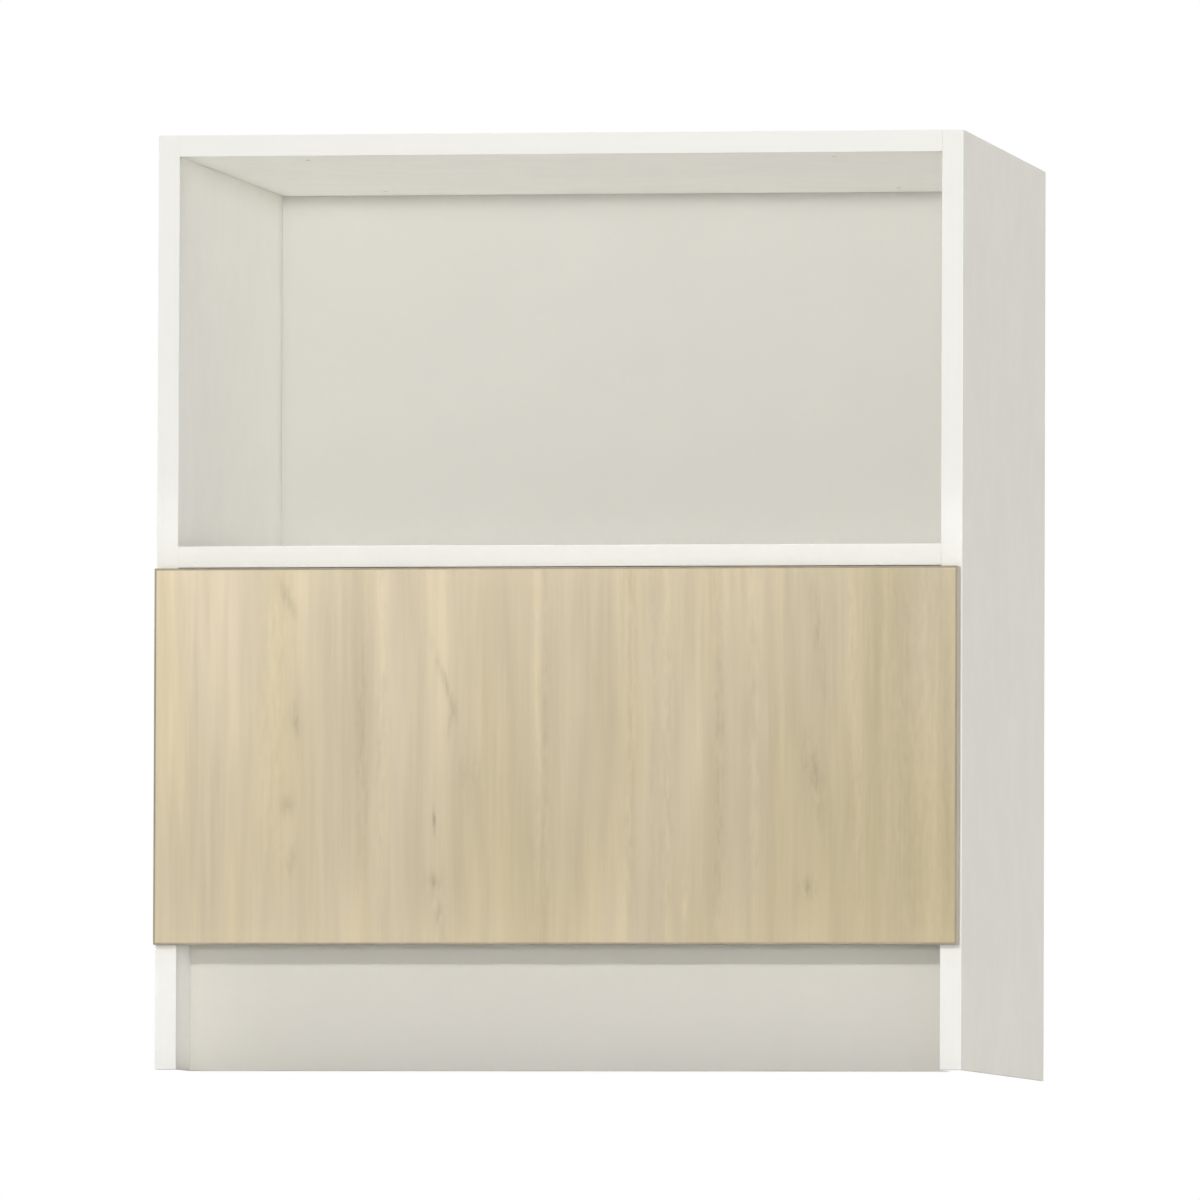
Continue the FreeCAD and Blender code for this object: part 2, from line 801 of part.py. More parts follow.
def save_slides():
    """Both slides with their cages, balls, stops, levers and screws."""
    save_pair("slide_cabinet_member", [cabinet_member()])
    save_pair("slide_middle_member", [middle_member()])
    save_pair("slide_drawer_member", [drawer_member()])
    save_pair("outer_ball_cage", [ball_cage(outer_cage_web, outer_ball_u, outer_ball_v)])
    save_pair("outer_balls", cage_balls(outer_ball_u, outer_ball_v))
    save_pair("inner_ball_cage", [ball_cage(inner_cage_web, inner_ball_u, inner_ball_v)])
    save_pair("inner_balls", cage_balls(inner_ball_u, inner_ball_v))
    save_pair("release_lever", [release_lever()])
    save("release_lever_pins", both([lever_pin()]))
    save("slide_rear_stops", both([rear_stop()]))
    save("cabinet_member_screws", both(cabinet_screws()))
    save("drawer_member_screws", both(drawer_member_screws()))


def main():
    """Build every sub-part."""
    os.makedirs("parts", exist_ok=True)
    save_carcass()
    save_drawer()
    save_slides()


main()
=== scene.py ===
import logging
from dataclasses import dataclass
from enum import Enum
from math import pi, radians
from typing import Optional, Union

import bpy
import numpy as np
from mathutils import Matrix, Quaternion, Vector


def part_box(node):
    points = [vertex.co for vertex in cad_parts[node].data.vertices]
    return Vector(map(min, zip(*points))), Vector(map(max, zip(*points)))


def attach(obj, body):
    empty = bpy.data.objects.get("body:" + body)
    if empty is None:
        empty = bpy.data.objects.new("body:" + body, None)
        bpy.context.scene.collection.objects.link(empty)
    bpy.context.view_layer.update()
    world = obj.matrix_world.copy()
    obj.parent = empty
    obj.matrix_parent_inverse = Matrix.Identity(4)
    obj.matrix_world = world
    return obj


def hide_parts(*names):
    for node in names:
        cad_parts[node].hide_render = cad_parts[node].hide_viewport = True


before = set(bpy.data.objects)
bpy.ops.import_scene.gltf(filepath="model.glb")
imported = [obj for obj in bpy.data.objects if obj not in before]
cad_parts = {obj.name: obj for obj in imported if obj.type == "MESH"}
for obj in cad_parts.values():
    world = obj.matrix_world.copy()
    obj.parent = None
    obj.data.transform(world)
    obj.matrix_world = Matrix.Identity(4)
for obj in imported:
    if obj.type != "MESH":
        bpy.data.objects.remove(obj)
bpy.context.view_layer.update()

log = logging.getLogger("microwave_cabinet")

Array = np.ndarray
Colour = tuple[int, int, int]
Place = tuple[float, float, float]
Span = tuple[float, float]
Outline = tuple[Span, ...]
Stops = tuple[tuple[float, Colour], ...]
Piece = bpy.types.Object
Socket = bpy.types.NodeSocket
Feed = Union[float, tuple, Socket]

PURE_WHITE = (1.0, 1.0, 1.0, 1.0)

# Span that most of a cloudy pattern fills
CLOUDY: Span = (0.3, 0.7)

# Tones of pressed chips, from dark to pale
CHIP_TONES: Stops = (
    (0.2, (126, 99, 69)),
    (0.42, (172, 144, 107)),
    (0.58, (196, 170, 132)),
    (0.8, (216, 195, 160)),
)


class Axis(Enum):
    """Direction across a board, from one of its faces to the other."""

    X = (1.0, 0.0, 0.0)
    Y = (0.0, 1.0, 0.0)
    Z = (0.0, 0.0, 1.0)


class Facing(Enum):
    """Way that a fitting's face looks, as the three directions of its own x, y and z."""

    UP = ((1, 0, 0), (0, 1, 0), (0, 0, 1))
    DOWN = ((1, 0, 0), (0, -1, 0), (0, 0, -1))
    REAR = ((-1, 0, 0), (0, 0, 1), (0, 1, 0))
    RIGHT = ((0, 1, 0), (0, 0, 1), (1, 0, 0))
    LEFT = ((0, -1, 0), (0, 0, 1), (-1, 0, 0))


class Wall(Enum):
    """Wall of a hollow, as the number of the axis that it lies across and the end of that axis."""

    LEFT = (0, -1)
    RIGHT = (0, 1)
    FLOOR = (2, -1)
    CEILING = (2, 1)


def tone(colour: Colour, level: float = 1.0) -> tuple[float, float, float, float]:
    """Turn a colour as seen into the light values that a shader takes.

    Args:
        colour: Red, green and blue from 0 to 255.
        level: Share of the light to keep.

    Returns:
        Linear red, green and blue, and full cover.
    """
    share = np.array(colour) / 255
    light = np.where(share <= 0.04045, share / 12.92, ((share + 0.055) / 1.055) ** 2.4)
    return (*(light * level).tolist(), 1.0)


class Nodes:
    """A tree of shader nodes, with short calls to add, feed and sum them."""

    def __init__(self, tree: bpy.types.NodeTree) -> None:
        """Start with an empty tree."""
        self.tree = tree
        self.tree.nodes.clear()

    def node(self, kind: str, feeds: Optional[dict] = None, **settings: object) -> bpy.types.Node:
        """Add a node.

        Args:
            kind: Type of the node.
            feeds: Values or sockets for its inputs, by name or number.
            settings: Properties of the node.

        Returns:
            The new node.
        """
        made = self.tree.nodes.new(kind)
        for key, value in settings.items():
            setattr(made, key, value)
        for key, value in (feeds or {}).items():
            self.feed(made.inputs[key], value)
        return made

    def feed(self, socket: Socket, value: Feed) -> None:
        """Link a socket to another, or set its value.

        Args:
            socket: Input to feed.
            value: Socket to link, or a plain value.
        """
        if isinstance(value, bpy.types.NodeSocket):
            self.tree.links.new(value, socket)
        else:
            socket.default_value = value

    def math(self, operation: str, first: Feed, second: Feed = 0.0, third: Feed = 0.0) -> Socket:
        """Work out a number from up to three others."""
        return self.node("ShaderNodeMath", {0: first, 1: second, 2: third}, operation=operation).outputs[0]

    def merge(self, share: Feed, first: Socket, second: Socket) -> Socket:
        """Mix two shaders by the share of the second."""
        return self.node("ShaderNodeMixShader", {0: share, 1: first, 2: second}).outputs[0]


class Sketch(Nodes):
    """A material's nodes, with the patterns that the finishes share."""

    def __init__(self, name: str) -> None:
        """Start a material with one surface shader.

        Args:
            name: Name of the material.
        """
        self.material = bpy.data.materials.new(name)
        self.material.use_nodes = True
        super().__init__(self.material.node_tree)
        self.output = self.node("ShaderNodeOutputMaterial")
        self.shader = self.node("ShaderNodeBsdfPrincipled")
        self.feed(self.output.inputs["Surface"], self.shader.outputs[0])
        self.place = self.node("ShaderNodeTexCoord").outputs["Object"]
        self.normal = self.node("ShaderNodeNewGeometry").outputs["Normal"]

    def dress(self, **feeds: Feed) -> None:
        """Feed the surface shader's inputs, named with an underscore for each space."""
        for key, value in feeds.items():
            self.feed(self.shader.inputs[key.replace("_", " ")], value)

    def vector(self, operation: str, feeds: dict, output: str = "Vector") -> Socket:
        """Work out a vector, or the number that it gives."""
        return self.node("ShaderNodeVectorMath", feeds, operation=operation).outputs[output]

    def span(self, value: Feed, own: Span, new: Span = (0.0, 1.0)) -> Socket:
        """Move a number from its own span to a new one, kept within it."""
        feeds = {0: value, 1: own[0], 2: own[1], 3: new[0], 4: new[1]}
        return self.node("ShaderNodeMapRange", feeds).outputs[0]

    def mix(self, share: Feed, first: Feed, second: Feed) -> Socket:
        """Mix two colours by the share of the second."""
        return self.node("ShaderNodeMix", {0: share, 6: first, 7: second}, data_type="RGBA").outputs[2]

    def shades(self, share: Feed, colour: Colour, dark: float, light: float) -> Socket:
        """Vary a colour between a dark and a light level of itself."""
        return self.mix(share, tone(colour, dark), tone(colour, light))

    def blend(self, first: Socket, second: Socket, share: float) -> Socket:
        """Add up two patterns, with a share of the first and the rest of the second."""
        return self.math("MULTIPLY_ADD", first, share, self.math("MULTIPLY", second, 1 - share))

    def pick(self, mask: Socket, there: Feed, elsewhere: Feed) -> Socket:
        """Take one number where a mask is 1 and another where it is 0."""
        return self.math("MULTIPLY_ADD", mask, self.math("SUBTRACT", there, elsewhere), elsewhere)

    def swing(self, total: Feed, pattern: Socket, depth: Feed) -> Socket:
        """Add to a total how far a pattern lies from its middle, times a depth."""
        return self.math("MULTIPLY_ADD", self.math("SUBTRACT", pattern, 0.5), depth, total)

    def noise(
        self,
        waves: Union[float, Place],
        detail: float = 2.0,
        rough: float = 0.5,
        place: Optional[Socket] = None,
        output: int = 0,
    ) -> Socket:
        """Cloudy pattern, stretched by its own waves along each axis.

        Args:
            waves: Waves per metre, alike every way or along x, y and z.
            detail: Number of finer layers.
            rough: Strength of the finer layers.
            place: Coordinates, or none for the object's own.
            output: 0 for a number around one half, 1 for three such numbers.

        Returns:
            The pattern.
        """
        scale = waves if isinstance(waves, tuple) else (waves, waves, waves)
        vector = self.node("ShaderNodeMapping", {0: place or self.place, 3: scale}).outputs[0]
        feeds = {"Vector": vector, "Scale": 1.0, "Detail": detail, "Roughness": rough}
        return self.node("ShaderNodeTexNoise", feeds).outputs[output]

    def cells(self, scale: Place) -> Socket:
        """Pattern of flat cells.

        Args:
            scale: Cells per metre along x, y and z.

        Returns:
            A number of its own for each cell, from 0 to 1.
        """
        vector = self.node("ShaderNodeMapping", {0: self.place, 3: scale}).outputs[0]
        colour = self.node("ShaderNodeTexVoronoi", {"Vector": vector, "Scale": 1.0}).outputs["Color"]
        return self.node("ShaderNodeSeparateColor", {0: colour}).outputs[0]

    def ramp(self, share: Socket, stops: Stops) -> Socket:
        """Run through several colours.

        Args:
            share: Place along the run, from 0 to 1.
            stops: Place and colour of each stop.

        Returns:
            The colour at that place.
        """
        made = self.node("ShaderNodeValToRGB", {0: share})
        elements = made.color_ramp.elements
        while len(elements) < len(stops):
            elements.new(1.0)
        for element, (position, colour) in zip(elements, stops):
            element.position = position
            element.color = tone(colour)
        return made.outputs[0]

    def facing(self, direction: Place, both: bool = True, least: float = 0.7) -> Socket:
        """Mask of the surfaces that look one way.

        Args:
            direction: The way they look.
            both: Whether the opposite way counts too.
            least: Least cosine of the angle to that way.

        Returns:
            1 on those surfaces and 0 elsewhere.
        """
        dot = self.vector("DOT_PRODUCT", {0: self.normal, 1: direction}, "Value")
        if both:
            dot = self.math("ABSOLUTE", dot)
        return self.math("GREATER_THAN", dot, least)

    def relief(self, height: Socket, depth: float) -> None:
        """Give the surface a fine relief: a height from 0 to 1, times a depth in metres."""
        feeds = {"Strength": 1.0, "Distance": depth, "Height": height}
        self.dress(Normal=self.node("ShaderNodeBump", feeds).outputs[0])

    def sheet(self, colour: Colour) -> Socket:
        """Colour of a printed melamine sheet, with a faint cloud and a fine fleck."""
        share = self.blend(self.noise(1100.0, 1.0), self.noise(9.0, 3.0), 0.45)
        return self.shades(share, colour, dark=0.965, light=1.035)

    def chips(self, across: Axis) -> Socket:
        """Pattern of pressed chips, thin across the board and long in its plane, with dust between.

        Args:
            across: Direction from one face of the board to the other.

        Returns:
            A number from 0 on dark chips to 1 on pale ones.
        """
        thin, flat, finer = 900.0, 300.0, 2.3
        waves = np.where(across.value, thin, flat)
        coarse = self.cells(tuple(waves.tolist()))
        fine = self.cells(tuple((finer * waves).tolist()))
        dust = self.noise(1400.0, 3.0, 0.7)
        share = self.math("MULTIPLY_ADD", coarse, 0.4, self.math("MULTIPLY", fine, 0.3))
        return self.math("MULTIPLY_ADD", dust, 0.3, share)


@dataclass(frozen=True)
class Finish:
    """A surface finish, made into a material the first time that it is asked for."""

    name: str

    def material(self) -> bpy.types.Material:
        """Give the finish's material.

        Returns:
            The material, new or made before.
        """
        known = bpy.data.materials.get(self.name)
        if known:
            return known
        sketch = Sketch(self.name)
        self.lay(sketch)
        return sketch.material

    def lay(self, sketch: Sketch) -> None:
        """Lay the finish's nodes in a material."""
        raise NotImplementedError


@dataclass(frozen=True)
class Board(Finish):
    """Melamine-faced chipboard: satin faces with a pearl relief, bare chips on cut edges and in holes.

    The pearl's depth is in metres, and crumb is how many times deeper the chips are.
    """

    face: Colour
    across: Axis
    wrapped_top: bool = False
    face_rough: Span = (0.42, 0.52)
    chip_rough: float = 0.9
    gloss: float = 0.3
    pearl: float = 0.00003
    crumb: float = 8.0

    def lay(self, sketch: Sketch) -> None:
        """Lay the sheet on the faces and chips elsewhere.

        Args:
            sketch: Material to lay them in.
        """
        faced = sketch.facing(self.across.value)
        if self.wrapped_top:
            faced = sketch.math("MAXIMUM", faced, sketch.facing(Axis.Z.value, both=False))
        satin = sketch.span(sketch.noise(25.0), CLOUDY, self.face_rough)
        chips = sketch.chips(self.across)
        crumb = sketch.math("MULTIPLY", chips, self.crumb)
        colour = sketch.mix(faced, sketch.ramp(chips, CHIP_TONES), sketch.sheet(self.face))
        sketch.dress(Base_Color=colour, Roughness=sketch.pick(faced, satin, self.chip_rough))
        sketch.dress(Specular_IOR_Level=self.gloss)
        sketch.relief(sketch.pick(faced, sketch.noise(1500.0), crumb), self.pearl)


@dataclass(frozen=True)
class BackBoard(Finish):
    """Thin hardboard: painted towards the niche, brown with a screen's print at the rear."""

    face: Colour
    rear: Colour
    screen: float = 0.0016
    print_depth: float = 0.00012

    def lay(self, sketch: Sketch) -> None:
        """Lay paint on the front face and pressed fibres elsewhere.

        Args:
            sketch: Material to lay them in.
        """
        painted = sketch.facing((0.0, -1.0, 0.0), both=False)
        share = sketch.blend(sketch.noise((700.0, 700.0, 260.0), 4.0, 0.7), sketch.noise(7.0, 4.0), 0.6)
        brown = sketch.shades(sketch.span(share, (0.25, 0.75)), self.rear, dark=0.72, light=1.3)
        parts = sketch.node("ShaderNodeSeparateXYZ", {0: sketch.place})
        turns = 2 * pi / self.screen
        weave = [sketch.math("SINE", sketch.math("MULTIPLY", parts.outputs[axis], turns)) for axis in (0, 2)]
        screen = sketch.span(sketch.math("MULTIPLY", *weave), (-1.0, 1.0))
        rough = sketch.span(painted, (0.0, 1.0), (0.82, 0.45))
        sketch.dress(Base_Color=sketch.mix(painted, brown, sketch.sheet(self.face)), Roughness=rough)
        bare = sketch.math("SUBTRACT", 1.0, painted)
        sketch.relief(sketch.math("MULTIPLY", screen, bare), self.print_depth)


@dataclass(frozen=True)
class EdgeBand(Finish):
    """Plastic edge band: satin, with fine lines along it that are faint or, as wood, deeper."""

    colour: Colour
    along: Place
    figure: float = 0.035
    line_depth: float = 0.00001

    def lay(self, sketch: Sketch) -> None:
        """Lay the band's colour and its lines.

        Args:
            sketch: Material to lay them in.
        """
        lines = sketch.noise(self.along, 3.0)
        share = sketch.blend(lines, sketch.noise(14.0, 3.0), 0.5)
        colour = sketch.shades(share, self.colour, dark=1 - self.figure, light=1 + self.figure)
        sketch.dress(Base_Color=colour, Roughness=sketch.span(lines, CLOUDY, (0.36, 0.48)))
        sketch.relief(lines, self.line_depth)


@dataclass(frozen=True)
class Streak:
    """Soft mark in the wood's figure.

    Its place and half sizes are in metres and its lean in degrees; change is what it adds to the light.
    """

    x: float
    z: float
    half_width: float
    half_length: float
    change: float
    lean: float = 0.0


@dataclass(frozen=True)
class WoodLaminate(Finish):
    """Pale upright wood print: painted light at the upper left that deepens to painted shade at the lower
    right, strips, fibres, streaks and smudges.
    """

    # Colours of the painted light and shade, from the lit upper left to the shaded lower right
    tones: tuple[Colour, Colour, Colour]
    inside: Colour
    low: Place
    high: Place
    streaks: tuple[Streak, ...]
    pore_depth: float = 0.00002

    def lay(self, sketch: Sketch) -> None:
        """Lay the wood print on the front, a plain sheet behind it and chips in the holes.

        Args:
            sketch: Material to lay them in.
        """
        fibre = sketch.noise((640.0, 640.0, 7.0), 4.0, 0.6)
        pore = sketch.noise((1400.0, 1400.0, 26.0))
        behind = sketch.facing(Axis.Y.value, both=False)
        front = sketch.mix(behind, self.print_colour(sketch, fibre), sketch.sheet(self.inside))
        core = sketch.ramp(sketch.chips(Axis.Y), CHIP_TONES)
        colour = sketch.mix(sketch.facing(Axis.Y.value), core, front)
        sketch.dress(Base_Color=colour, Roughness=sketch.span(pore, CLOUDY, (0.5, 0.42)))
        sketch.relief(sketch.math("ADD", pore, fibre), self.pore_depth)

    def print_colour(self, sketch: Sketch, fibre: Socket) -> Socket:
        """Work out the print: a corner-to-corner tone of painted light and shade and a drifting hue, times
        strips, fibres and streaks.

        Args:
            sketch: Material to lay the nodes in.
            fibre: Pattern of the fine fibres.

        Returns:
            The colour of the wood.
        """
        sway = sketch.noise((9.0, 1.0, 5.0), output=1)
        shift = sketch.vector("SUBTRACT", {0: sway, 1: (0.5, 0.5, 0.5)})
        place = sketch.vector("MULTIPLY_ADD", {0: shift, 1: (0.007, 0.0, 0.02), 2: sketch.place})
        patch = sketch.span(sketch.noise((16.0, 0.0, 6.0), place=place), (0.36, 0.64), (0.05, 0.34))
        total = sketch.swing(1.0, sketch.noise((24.0, 0.0, 1.8), 3.0, 0.6, place), 0.36)
        total = sketch.swing(total, sketch.noise((52.0, 0.0, 4.0), place=place), 0.3)
        total = sketch.swing(total, sketch.noise((120.0, 0.0, 5.0), 4.0, 0.65, place), patch)
        total = sketch.swing(total, fibre, 0.1)
        marks = 0.0
        for streak in self.streaks:
            marks = self.add_streak(sketch, place, streak, marks)
        broken = sketch.span(sketch.noise((190.0, 0.0, 46.0), 3.0, 0.6, place), (0.36, 0.64), (0.1, 1.7))
        total = sketch.math("MULTIPLY_ADD", marks, broken, total)
        drift = sketch.noise((18.0, 0.0, 2.2), place=place)
        hue = sketch.mix(drift, (1.0, 1.0, 0.88, 1.0), (1.0, 1.0, 1.12, 1.0))
        # Painted light and shade from the upper left, times the drifting hue
        base = sketch.vector("MULTIPLY", {0: self.painted_light_and_shade(sketch), 1: hue})
        return sketch.vector("SCALE", {0: base, 3: total})

    def add_streak(self, sketch: Sketch, place: Socket, streak: Streak, total: Feed) -> Socket:
        """Add a bell-shaped mark: change times exp of minus the squared distance in half sizes.

        Args:
            sketch: Material to lay the nodes in.
            place: Coordinates along the grain.
            streak: The mark.
            total: Sum so far.

        Returns:
            The sum with this mark.
        """
        far = 1000.0
        feeds = {
            0: place,
            1: (streak.x, 0.0, streak.z),
            2: (0.0, -radians(streak.lean), 0.0),
            3: (streak.half_width, far, streak.half_length),
        }
        local = sketch.node("ShaderNodeMapping", feeds, vector_type="TEXTURE").outputs[0]
        square = sketch.vector("DOT_PRODUCT", {0: local, 1: local}, "Value")
        bell = sketch.math("EXPONENT", sketch.math("MULTIPLY", square, -1.0))
        return sketch.math("MULTIPLY_ADD", bell, streak.change, total)

    def painted_light_and_shade(self, sketch: Sketch) -> Socket:
        """Painted light and shade: a tone that runs from the first, as painted light, at the upper left to
        the last, as painted shade, at the lower right.

        Args:
            sketch: Material to lay the nodes in.

        Returns:
            The base colour, with its painted light and shade.
        """
        parts = sketch.node("ShaderNodeSeparateXYZ", {0: sketch.place})
        across = sketch.span(parts.outputs[0], (self.low[0], self.high[0]), (0.0, 0.55))
        down = sketch.span(parts.outputs[2], (self.high[2], self.low[2]), (0.0, 0.45))
        return sketch.ramp(sketch.math("ADD", across, down), tuple(zip((0.0, 0.5, 1.0), self.tones)))


@dataclass(frozen=True)
class Steel(Finish):
    """Plated or polished steel, with rolling lines and a mottled plating."""

    colour: Colour
    smooth: float
    dull: float
    lines: Union[float, Place] = (520.0, 9.0, 520.0)
    line_depth: float = 0.000008

    def lay(self, sketch: Sketch) -> None:
        """Lay the plating's tones and the rolling lines.

        Args:
            sketch: Material to lay them in.
        """
        rolled = sketch.noise(self.lines, 4.0, 0.6)
        share = sketch.blend(rolled, sketch.noise(70.0, 4.0, 0.6), 0.4)
        colour = sketch.shades(sketch.span(share, CLOUDY), self.colour, dark=0.84, light=1.06)
        rough = sketch.span(share, CLOUDY, (self.dull, self.smooth))
        sketch.dress(Base_Color=colour, Roughness=rough, Metallic=1.0)
        sketch.relief(rolled, self.line_depth)


@dataclass(frozen=True)
class Moulded(Finish):
    """Moulded plastic or rubber: even colour, a fine grain and dusty high spots."""

    colour: Colour
    rough: float
    grain: float
    clear: float = 0.0

    def lay(self, sketch: Sketch) -> None:
        """Lay the colour, its dust and the moulding's grain.

        Args:
            sketch: Material to lay them in.
        """
        dust = sketch.noise(160.0, 4.0, 0.65)
        colour = sketch.shades(sketch.span(dust, (0.35, 0.7)), self.colour, dark=0.85, light=1.2)
        rough = sketch.span(dust, CLOUDY, (self.rough - 0.06, self.rough + 0.08))
        sketch.dress(Base_Color=colour, Roughness=rough, Transmission_Weight=self.clear)
        sketch.relief(sketch.noise(2200.0), self.grain)


@dataclass(frozen=True)
class Beech(Finish):
    """Turned beech: pink-brown with short dark rays along the grain."""

    colour: Colour
    rough: float = 0.6
    grain_depth: float = 0.00003

    def lay(self, sketch: Sketch) -> None:
        """Lay the grain and its rays.

        Args:
            sketch: Material to lay them in.
        """
        grain = sketch.noise((60.0, 900.0, 900.0), 4.0, 0.6)
        rays = sketch.span(sketch.noise((260.0, 2400.0, 2400.0), 1.0), (0.62, 0.7))
        base = sketch.shades(sketch.span(grain, CLOUDY), self.colour, dark=0.82, light=1.15)
        sketch.dress(Base_Color=sketch.mix(rays, base, tone(self.colour, 0.55)), Roughness=self.rough)
        sketch.relief(grain, self.grain_depth)


GREIGE: Colour = (213, 210, 201)
WHITE: Colour = (240, 239, 234)
BEECH = Beech("beech", (205, 168, 126))
ZINC = Steel("zinc_plated_steel", (206, 208, 208), smooth=0.24, dull=0.4)
SCREW_ZINC = Steel("zinc_plated_screw", (212, 211, 204), smooth=0.2, dull=0.34, lines=300.0)


@dataclass(frozen=True)
class CrossRecess:
    """Cross for a driver in a fitting's face, in metres; run_out is how steeply its arms end."""

    reach: float
    half_width: float
    depth: float
    wall: float = 0.00015
    run_out: float = 2.2

    def trough(self, side: Array, run: Array) -> Array:
        """Share of the depth in one arm: full within the half width, falling away towards the arm's ends.

        Args:
            side: Distance from the arm's middle line.
            run: Distance along it.

        Returns:
            Share of the depth at each point.
        """
        across = np.clip((self.half_width - np.abs(side)) / self.wall, 0, 1)
        along = np.clip(self.run_out * (1 - np.abs(run) / self.reach), 0, 1)
        return across * along

    def sunk(self, x: Array, y: Array) -> Array:
        """Depth below the face: the deeper of two arms at right angles."""
        return self.depth * np.maximum(self.trough(x, y), self.trough(y, x))


@dataclass(frozen=True)
class Thread:
    """Screw thread on the part of a shank below a height, in metres."""

    pitch: float
    depth: float
    start: float

    def bite(self, height: Array, angle: Array) -> Array:
        """Cut into the shank: a sawtooth of the height in pitches less the turn, zero at the crest."""
        phase = (height / self.pitch - angle / (2 * pi)) % 1.0
        return np.where(height < self.start, self.depth * np.abs(2 * phase - 1), 0.0)


@dataclass(frozen=True)
class Turned:
    """Turned fitting: a crowned face across the axis, then an outline carried round it to the far end."""

    outline: Outline
    crown: float = 0.0
    recess: Optional[CrossRecess] = None
    thread: Optional[Thread] = None
    face_rings: int = 36
    step: float = 0.0003
    around: int = 64

    def profile(self) -> tuple[Array, Array, Array]:
        """Rings of the fitting: the face from its middle out, then the outline in small steps.

        Returns:
            Radius, height and share of the recess of each ring.
        """
        corners = np.array(self.outline)
        out = np.linspace(0, 1, self.face_rings)
        face = np.stack((corners[0, 0] * out, corners[0, 1] + self.crown * (1 - out**2)), 1)
        lengths = np.hypot(*np.diff(corners, axis=0).T)
        counts = np.maximum(np.ceil(lengths / self.step).astype(int), 1)
        spots = np.concatenate([np.arange(1, n + 1) / n + k for k, n in enumerate(counts)])
        ticks = np.arange(len(corners))
        rest = np.stack((np.interp(spots, ticks, corners[:, 0]), np.interp(spots, ticks, corners[:, 1])), 1)
        rings = np.concatenate((face, rest))
        on_face = np.arange(len(rings)) < self.face_rings
        return rings[:, 0], rings[:, 1], on_face.astype(float)

    def rings(self) -> Array:
        """Skin of the fitting: ring i at angle a is (r cos a, r sin a, h), less the recess and the thread.

        Returns:
            Points, by ring and by place round it.
        """
        radius, height, on_face = self.profile()
        angle = np.linspace(0, 2 * pi, self.around, endpoint=False)
        radius, turn = np.meshgrid(radius, angle, indexing="ij")
        height = np.repeat(height[:, None], self.around, axis=1)
        if self.thread:
            inner = np.clip(radius - self.thread.bite(height, turn), 0, None)
            radius = np.where(on_face[:, None] > 0, radius, inner)
        x, y = radius * np.cos(turn), radius * np.sin(turn)
        if self.recess:
            height = height - on_face[:, None] * self.recess.sunk(x, y)
        return np.stack((x, y, height), -1)


@dataclass(frozen=True)
class Screw:
    """Wood screw with a cross in its head and a thread that runs to its tip, in metres."""

    head: Outline
    crown: float
    cross: CrossRecess
    thread: Thread
    tip: float = 0.004

    @property
    def radius(self) -> float:
        """Radius of the head."""
        return max(reach for reach, height in self.head)

    @property
    def height(self) -> float:
        """Height of the head over its seat."""
        return self.head[0][1] + self.crown

    def form(self, length: float) -> Turned:
        """Carry the head's outline down the shank to the tip.

        Args:
            length: Length below height 0.

        Returns:
            The screw.
        """
        shank_radius = self.head[-1][0]
        outline = (*self.head, (shank_radius, self.tip - length), (0.0, -length))
        return Turned(outline, self.crown, self.cross, self.thread, face_rings=30, step=0.0002, around=48)


DOMED_SCREW = Screw(
    head=((0.0031, 0.00142), (0.0034, 0.0011), (0.0035, 0.0007), (0.0035, 0.0), (0.002, 0.0)),
    crown=0.00078,
    cross=CrossRecess(reach=0.0021, half_width=0.00048, depth=0.0013),
    thread=Thread(pitch=0.0014, depth=0.0005, start=-0.0012),
)
SUNK_SCREW = Screw(
    head=((0.0034, 0.0), (0.0035, -0.0001), (0.002, -0.0015)),
    crown=0.0,
    cross=CrossRecess(reach=0.0022, half_width=0.00048, depth=0.0014),
    thread=Thread(pitch=0.0014, depth=0.0005, start=-0.002),
)


def ring_faces(count: int, around: int) -> tuple[Array, Array]:
    """Number the faces of rings about a first point: a fan inside the first ring, then four-sided faces.

    Args:
        count: Number of rings.
        around: Points in a ring.

    Returns:
        The three-sided and the four-sided faces.
    """
    here = 1 + np.arange(count * around).reshape(count, around)
    beside = np.roll(here, -1, axis=1)
    fan = np.stack((np.zeros(around, int), here[0], beside[0]), -1)
    quads = np.stack((here[:-1], here[1:], beside[1:], beside[:-1]), -1).reshape(-1, 4)
    return fan, quads


def closed_skin(rings: Array) -> tuple[Array, Array, Array]:
    """Join rings into a closed skin: a fan at each pole and four-sided faces between neighbouring rings.

    Args:
        rings: Points by ring and place, where the first and the last ring are single points.

    Returns:
        The vertices, the three-sided and the four-sided faces.
    """
    inner = rings[1:-1]
    count, around = inner.shape[:2]
    points = np.concatenate((rings[:1, 0], inner.reshape(-1, 3), rings[-1:, 0]))
    first, quads = ring_faces(count, around)
    here = first[:, 1] + (count - 1) * around
    last = np.stack((here, np.full(around, len(points) - 1), np.roll(here, -1)), -1)
    return points, np.concatenate((first, last)), quads


def add_mesh(name: str, points: Array, faces: tuple[Array, ...], material: bpy.types.Material) -> Piece:
    """Make an object of points and faces, with its place in its mesh.

    Args:
        name: Name of the object.
        points: Its vertices.
        faces: Its faces, one array for each number of corners.
        material: Its material.

    Returns:
        The object.
    """
    mesh = bpy.data.meshes.new(name)
    mesh.from_pydata(points.tolist(), [], sum((block.tolist() for block in faces), []))
    mesh.materials.append(material)
    made = bpy.data.objects.new(name, mesh)
    bpy.context.scene.collection.objects.link(made)
    return made


@dataclass(frozen=True)
class Spot:
    """Place of one fitting and the way that its face looks."""

    at: Place
    facing: Facing


def row(low: float, high: float, inset: float, count: int = 2) -> list[float]:
    """Space places evenly between two limits, the outer ones an inset away from them."""
    return np.linspace(low + inset, high - inset, count).tolist()


